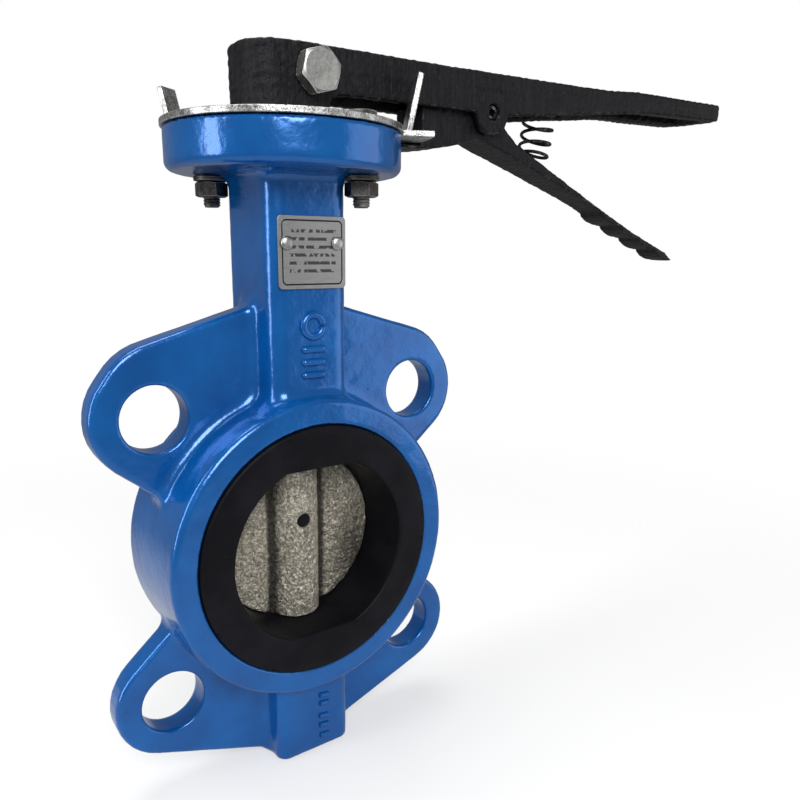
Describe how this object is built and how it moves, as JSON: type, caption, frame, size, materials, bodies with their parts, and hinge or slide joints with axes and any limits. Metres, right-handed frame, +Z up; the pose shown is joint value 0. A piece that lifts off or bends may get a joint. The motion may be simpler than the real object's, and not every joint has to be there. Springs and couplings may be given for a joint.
{
  "type": "butterfly valve",
  "caption": "Wafer butterfly valve for a small pipe: cast ring with lugs and neck, rubber seat, disc on a stem, notched position plate and a hand lever with a squeeze trigger.",
  "frame": {"origin": "where the stem axis crosses the middle of the bore", "axes": "+Z up the stem towards the lever, +X along the lever in the closed position, -Y out of the front face"},
  "size_m": [0.3116, 0.0917, 0.2623],
  "materials": {
    "blue_enamel": "gloss",
    "black_rubber": "satin",
    "cast_iron": "sand cast",
    "dull_steel": "dull",
    "bright_zinc": "bright",
    "black_lever_paint": "satin",
    "bronze": "satin",
    "aluminium": "brushed"
  },
  "bodies": {
    "valve_body": {"body_casting": "blue_enamel", "seat_liner": "black_rubber", "lower_neck_bush": "bronze", "upper_neck_bush": "bronze", "bottom_bush": "bronze", "stem_seal": "black_rubber", "position_plate": "bright_zinc", "plate_bolt_front": "dull_steel", "plate_bolt_rear": "dull_steel", "plate_nut_front": "dull_steel", "plate_nut_rear": "dull_steel", "plate_washer_front": "dull_steel", "plate_washer_rear": "dull_steel", "nameplate": "aluminium", "nameplate_rivet_left": "dull_steel", "nameplate_rivet_right": "dull_steel"},
    "lever": {"disc": "cast_iron", "disc_pin": "dull_steel", "stem": "dull_steel", "lever_handle": "black_lever_paint", "clamp_bolt": "bright_zinc", "clamp_nut": "dull_steel", "trigger_pivot_pin": "dull_steel", "trigger_spring": "black_lever_paint"},
    "trigger": {"trigger": "black_lever_paint"}
  },
  "joints": [
    {"name": "lever_turn", "type": "hinge", "parent": "valve_body", "child": "lever", "pos_m": [0, 0, 0], "axis": [0, 0, 1], "range_deg": [0, 90]},
    {"name": "trigger_squeeze", "type": "hinge", "parent": "lever", "child": "trigger", "pos_m": [0.08385, 0, 0.1566], "axis": [0, -1, 0], "range_deg": [0, 12], "stiffness_Nm_per_rad": 3, "springref_deg": -11.46, "deforming": ["trigger_spring"]}
  ]
}
